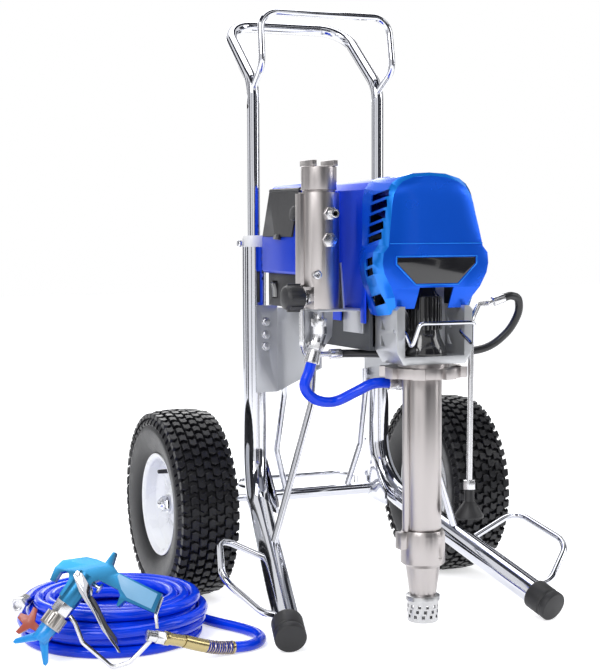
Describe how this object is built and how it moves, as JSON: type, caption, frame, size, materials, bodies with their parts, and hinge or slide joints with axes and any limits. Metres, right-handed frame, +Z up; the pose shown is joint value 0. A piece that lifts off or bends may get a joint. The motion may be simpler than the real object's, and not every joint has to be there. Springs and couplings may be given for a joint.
{
  "type": "airless paint sprayer",
  "caption": "Upright airless paint sprayer on a two-wheeled cart with a covered motor and gear drive, piston pump, filter, coiled paint hose and trigger spray gun.",
  "frame": {"origin": "on the floor, under the middle of the wheel axle", "axes": "+Z up, the pump at -Y, the handle at +Y, the filter and the coiled hose at -X; the wheels turn about X"},
  "size_m": [0.9529, 0.653, 1.028],
  "materials": {
    "chromed_tube": "bright plated steel tube",
    "bright_steel": "plain turned or formed steel",
    "plated_sheet": "silver painted sheet",
    "tyre_rubber": "treaded rubber",
    "rim_white": "white painted pressed steel",
    "hub_steel": "oiled bush",
    "black_rubber": "moulded rubber",
    "black_plastic": "grained black plastic",
    "dark_casting": "dark casting",
    "blue_shroud": "blue moulded cover",
    "silver_casting": "silver painted casting",
    "plated_pump": "nickel plated steel",
    "strainer_steel": "perforated steel",
    "blue_hose": "smooth blue hose",
    "black_hose": "black hose",
    "spring_wire": "wound wire",
    "gun_metal": "blue anodised body",
    "guard_blue": "blue plastic",
    "tip_brown": "red brown plastic"
  },
  "bodies": {
    "cart": {"left_frame_tube": "chromed_tube", "right_frame_tube": "chromed_tube", "foot_caps": "black_rubber", "slide_collars": "black_plastic", "axle_tube": "chromed_tube", "axle_shaft": "bright_steel", "chassis_bracket": "plated_sheet", "frame_rods": "chromed_tube", "hose_racks": "chromed_tube", "fasteners": "bright_steel", "motor_casing": "dark_casting", "gear_housing": "dark_casting", "motor_shroud": "blue_shroud", "front_cover": "blue_shroud", "panels": "black_plastic", "control_box": "blue_shroud", "switch_housing": "black_plastic", "drive_housing": "silver_casting", "rod_cover": "black_plastic", "lock_nut": "plated_pump", "pump_sleeve": "plated_pump", "intake_housing": "plated_pump", "strainer": "strainer_steel", "filter_body": "plated_pump", "filter_cap": "plated_pump", "filter_bracket": "plated_sheet", "hose_fittings": "bright_steel", "pump_hose": "blue_hose", "drain_hose": "black_hose", "hose_crimps": "bright_steel", "drain_tubes": "bright_steel", "drain_nozzle": "black_plastic", "hose_coil": "blue_hose", "hose_lead": "blue_hose", "spring_guard": "spring_wire", "gun_body": "gun_metal", "gun_fittings": "bright_steel", "tip_guard": "guard_blue"},
    "left_wheel": {"left_tyre": "tyre_rubber", "left_rim": "rim_white", "left_hub_fittings": "hub_steel"},
    "right_wheel": {"right_tyre": "tyre_rubber", "right_rim": "rim_white", "right_hub_fittings": "hub_steel"},
    "handle": {"handle_tube": "chromed_tube", "handle_loop": "chromed_tube"},
    "left_lock": {"left_lock_plunger": "bright_steel"},
    "right_lock": {"right_lock_plunger": "bright_steel"},
    "motor_shaft_body": {"motor_rotor": "bright_steel"},
    "crank_body": {"crank_gear": "bright_steel"},
    "pump_rod": {"piston_rod": "bright_steel", "connecting_rod": "bright_steel"},
    "door": {"control_door": "black_plastic"},
    "knob_pressure": {"pressure_knob": "black_plastic"},
    "rocker": {"power_switch": "black_plastic"},
    "knob_drain": {"drain_knob": "black_plastic"},
    "hook": {"pail_hook": "chromed_tube"},
    "trigger": {"gun_trigger": "bright_steel"},
    "lock_disc": {"trigger_lock": "bright_steel"},
    "tip": {"spray_tip": "tip_brown"}
  },
  "joints": [
    {"name": "left_wheel_spin", "type": "hinge", "parent": "cart", "child": "left_wheel", "pos_m": [-0.262, 0, 0.165], "axis": [1, 0, 0], "continuous": true},
    {"name": "right_wheel_spin", "type": "hinge", "parent": "cart", "child": "right_wheel", "pos_m": [0.262, 0, 0.165], "axis": [1, 0, 0], "continuous": true},
    {"name": "handle_slide", "type": "slide", "parent": "cart", "child": "handle", "axis": [0, 0, 1], "range_m": [-0.24, 0]},
    {"name": "left_lock_slide", "type": "slide", "parent": "cart", "child": "left_lock", "axis": [1, 0, 0], "range_m": [0, 0.004]},
    {"name": "right_lock_slide", "type": "slide", "parent": "cart", "child": "right_lock", "axis": [-1, 0, 0], "range_m": [0, 0.004]},
    {"name": "crank_turn", "type": "hinge", "parent": "cart", "child": "crank_body", "pos_m": [0, -0.345, 0.528], "axis": [0, 1, 0], "continuous": true},
    {"name": "motor_spin", "type": "hinge", "parent": "cart", "child": "motor_shaft_body", "pos_m": [0, -0.2, 0.6], "axis": [0, 1, 0], "continuous": true},
    {"name": "pump_stroke", "type": "slide", "parent": "cart", "child": "pump_rod", "axis": [0, 0, 1], "range_m": [0, 0.03]},
    {"name": "door_hinge", "type": "hinge", "parent": "cart", "child": "door", "pos_m": [-0.116, -0.133, 0.708], "axis": [0, 1, 0], "range_deg": [0, 105]},
    {"name": "pressure_turn", "type": "hinge", "parent": "cart", "child": "knob_pressure", "pos_m": [-0.12319, -0.216, 0.66642], "axis": [-0.9854, 0, 0.1702], "range_deg": [0, 270]},
    {"name": "power_rock", "type": "hinge", "parent": "cart", "child": "rocker", "pos_m": [-0.116, -0.1, 0.54], "axis": [0, 1, 0], "range_deg": [0, 16]},
    {"name": "drain_turn", "type": "hinge", "parent": "cart", "child": "knob_drain", "pos_m": [-0.185, -0.33, 0.536], "axis": [-1, 0, 0], "range_deg": [0, 90]},
    {"name": "pail_hook_lift", "type": "hinge", "parent": "cart", "child": "hook", "pos_m": [0, -0.436, 0.486], "axis": [1, 0, 0], "range_deg": [-35, 0]},
    {"name": "trigger_pull", "type": "hinge", "parent": "cart", "child": "trigger", "pos_m": [-0.53693, -0.33417, 0.12999], "axis": [-0.3777, -0.8604, 0.342], "range_deg": [0, 8], "stiffness_Nm_per_rad": 1, "springref_deg": -5.73},
    {"name": "trigger_lock_turn", "type": "hinge", "parent": "cart", "child": "lock_disc", "pos_m": [-0.51354, -0.35038, 0.11505], "axis": [-0.6712, 0.5089, 0.539], "range_deg": [0, 90]},
    {"name": "spray_tip_turn", "type": "hinge", "parent": "cart", "child": "tip", "pos_m": [-0.59279, -0.34074, 0.05178], "axis": [-0.6712, 0.5089, 0.539], "range_deg": [0, 180]}
  ],
  "couplings": [
    {"joint": "motor_spin", "follows": "crank_turn", "ratio": -5}
  ]
}
